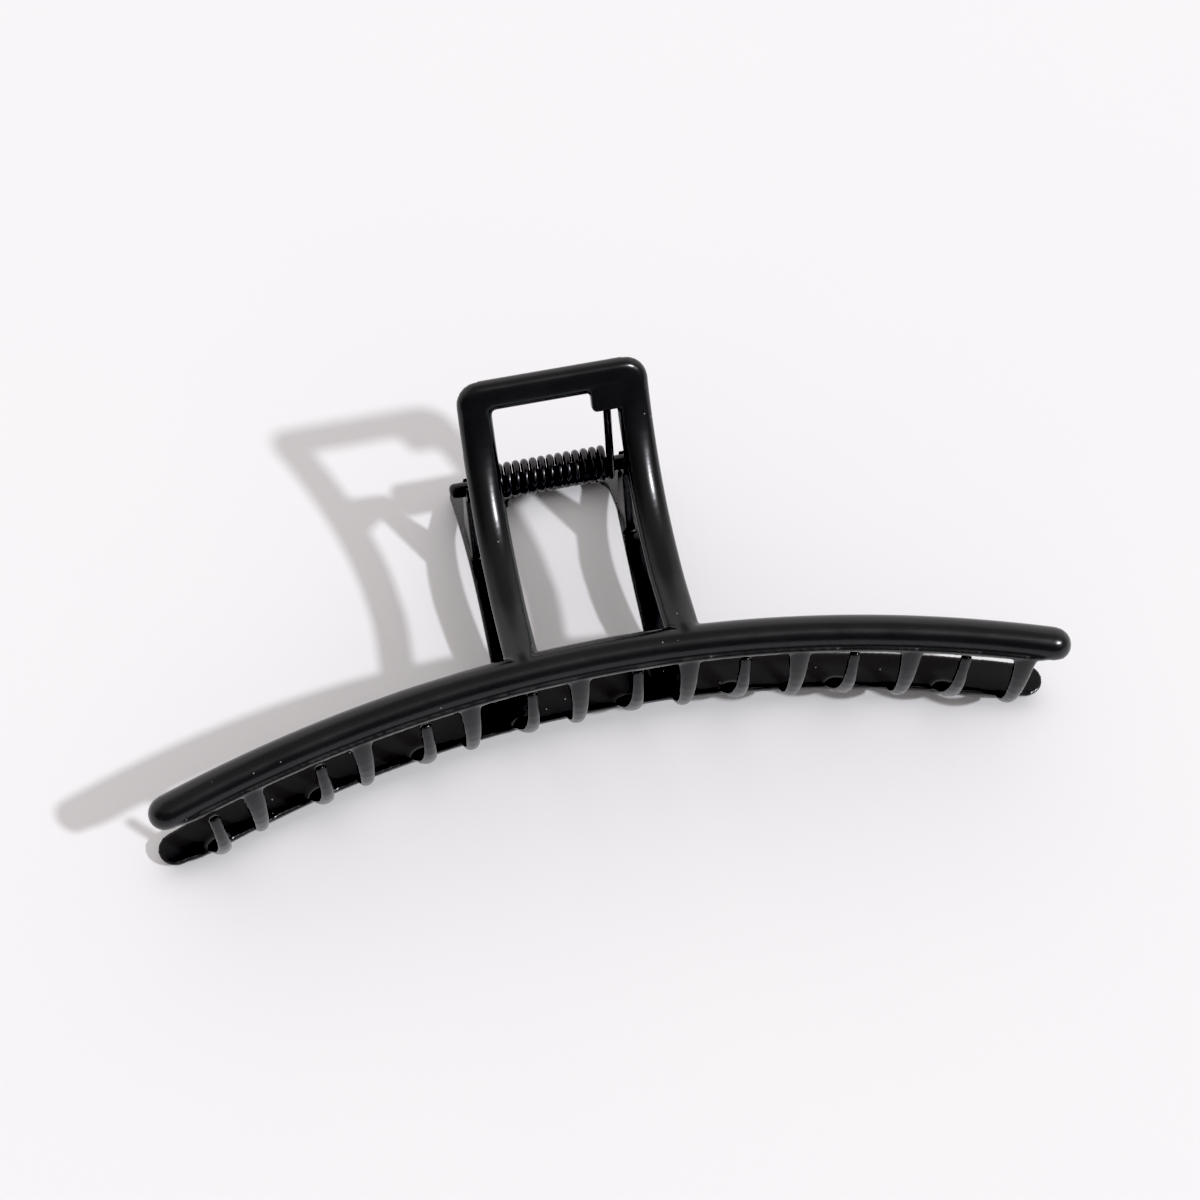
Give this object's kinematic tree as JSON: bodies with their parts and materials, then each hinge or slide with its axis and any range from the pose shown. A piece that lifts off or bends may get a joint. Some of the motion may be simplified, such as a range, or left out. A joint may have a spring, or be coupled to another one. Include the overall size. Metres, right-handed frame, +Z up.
{
  "type": "claw hair clip",
  "caption": "Long curved claw hair clip with interlocking toothed jaws, square open loop handles, a hinge pin and a coil spring.",
  "frame": {"origin": "middle of the bounding box, on the surface that the closed clip lies on", "axes": "+X along the clip's length and the hinge, +Y from the toothed bars towards the handles, +Z up, from the rear jaw that lies on the surface to the front jaw"},
  "size_m": [0.1104, 0.0486, 0.0343],
  "materials": {
    "black_plastic": "satin moulded black",
    "black_plastic_rear": "satin moulded black",
    "black_steel_pin": "blackened",
    "black_steel_wire": "blackened"
  },
  "bodies": {
    "rear": {"rear_jaw": "black_plastic_rear", "hinge_pin": "black_steel_pin", "spring": "black_steel_wire"},
    "front": {"front_jaw": "black_plastic"}
  },
  "joints": [
    {"name": "jaw_hinge", "type": "hinge", "parent": "rear", "child": "front", "pos_m": [0, 0.01447, 0.01615], "axis": [-1, 0, 0], "range_deg": [0, 125], "stiffness_Nm_per_rad": 0.08, "springref_deg": -45.84, "deforming": ["spring"]}
  ]
}
